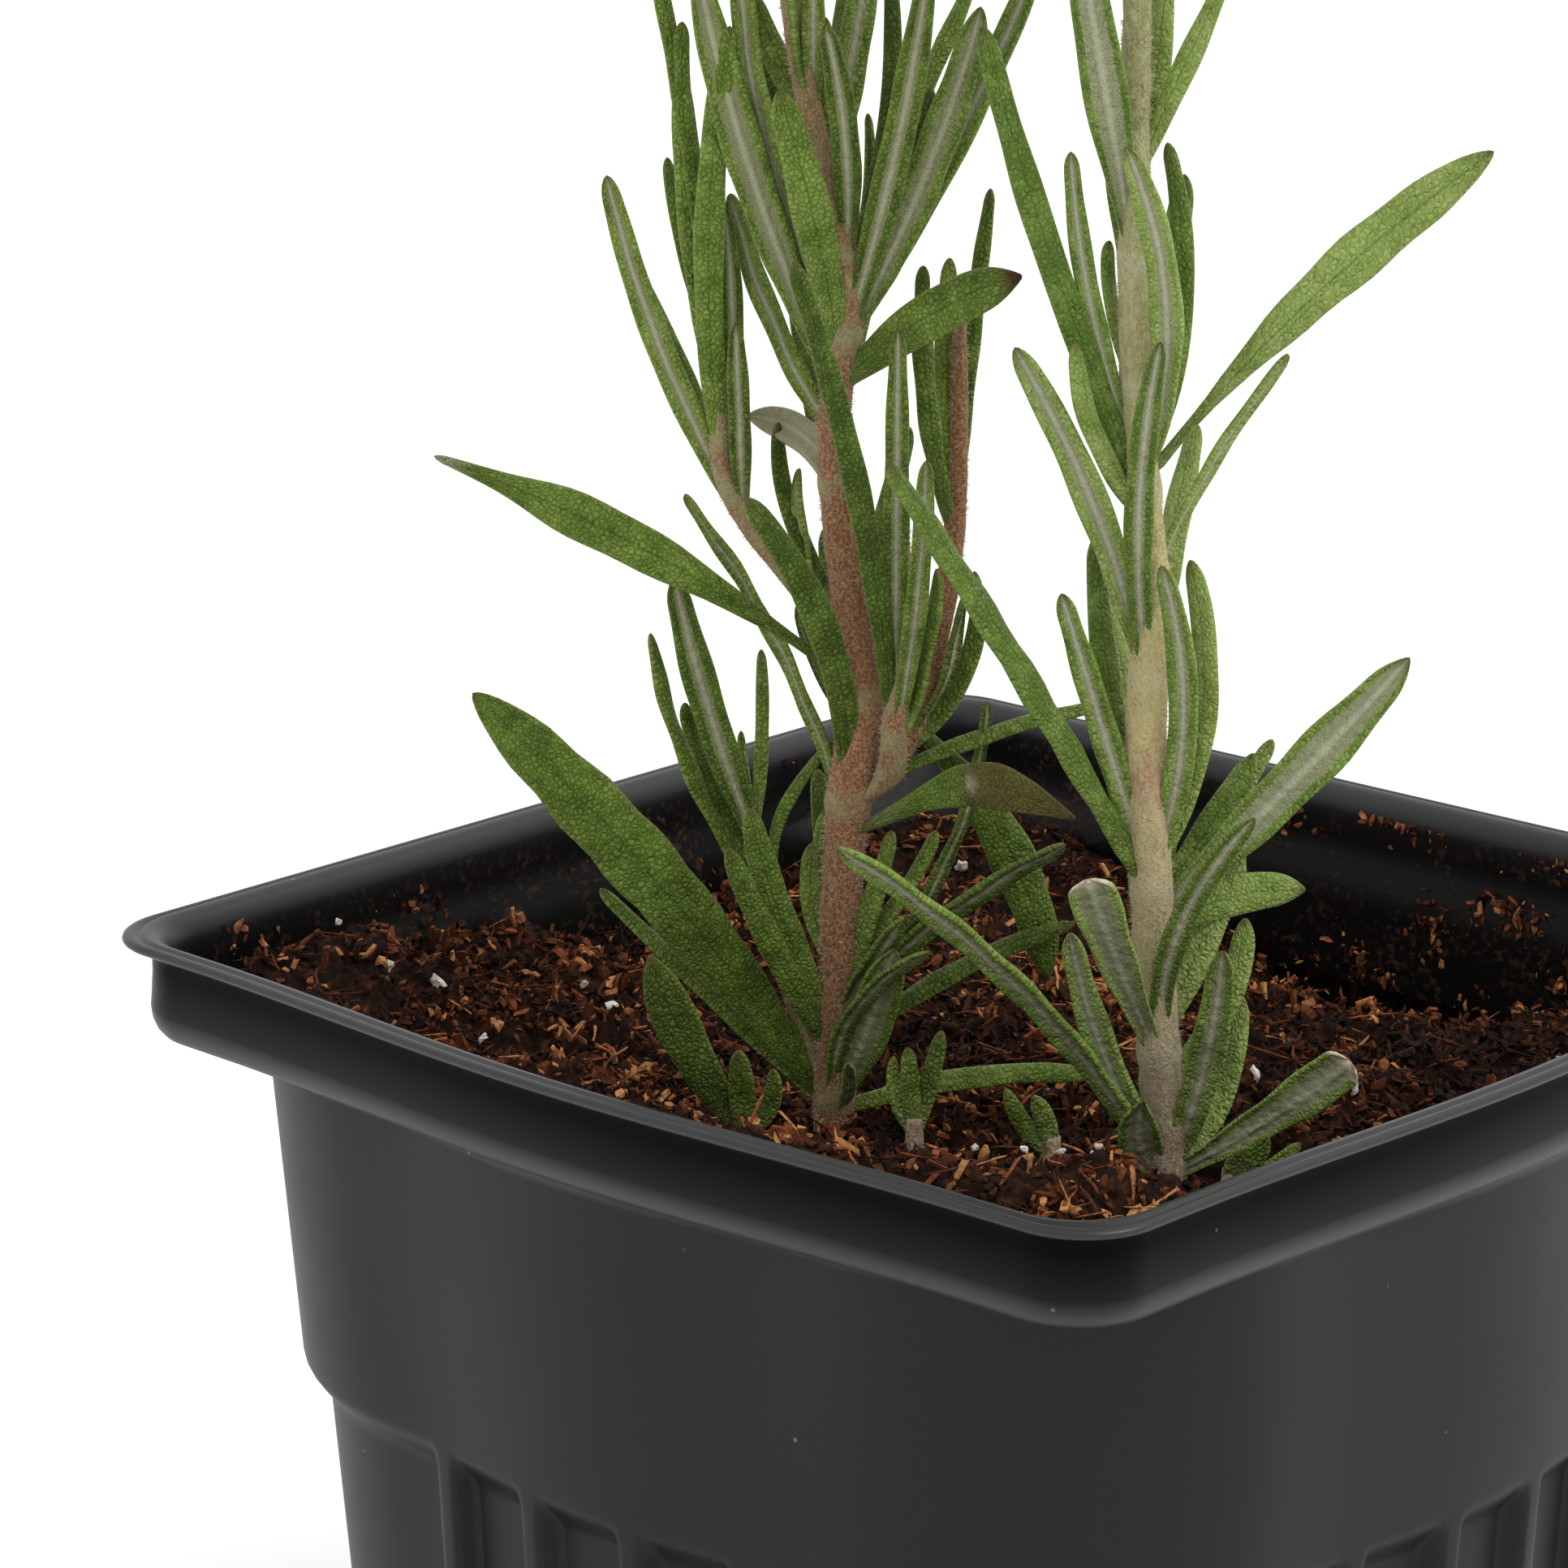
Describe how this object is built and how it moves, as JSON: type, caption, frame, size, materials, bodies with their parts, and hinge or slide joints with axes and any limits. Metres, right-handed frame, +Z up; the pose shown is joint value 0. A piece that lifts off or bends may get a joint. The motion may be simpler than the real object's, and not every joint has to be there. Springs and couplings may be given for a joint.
{
  "type": "potted rosemary plant",
  "caption": "Square tapered nursery pot of black plastic, filled with crumbly potting mix, holding upright leafy rosemary stems and low young shoots.",
  "frame": {"origin": "on the surface that the pot stands on, below the middle of the pot", "axes": "+Z up; -Y and +X are out of the pot's two sides that the picture shows"},
  "size_m": [0.1021, 0.1021, 0.2311],
  "materials": {
    "pot_plastic": "satin black",
    "potting_mix": "rough and crumbly",
    "foliage": "matte, finely pebbled above and felted below"
  },
  "bodies": {
    "root": {"pot": "pot_plastic", "soil": "potting_mix", "left_rosemary": "foliage", "right_rosemary": "foliage", "small_shoot_left": "foliage", "small_shoot_centre": "foliage", "small_shoot_middle": "foliage", "small_shoot_right": "foliage"}
  },
  "joints": []
}
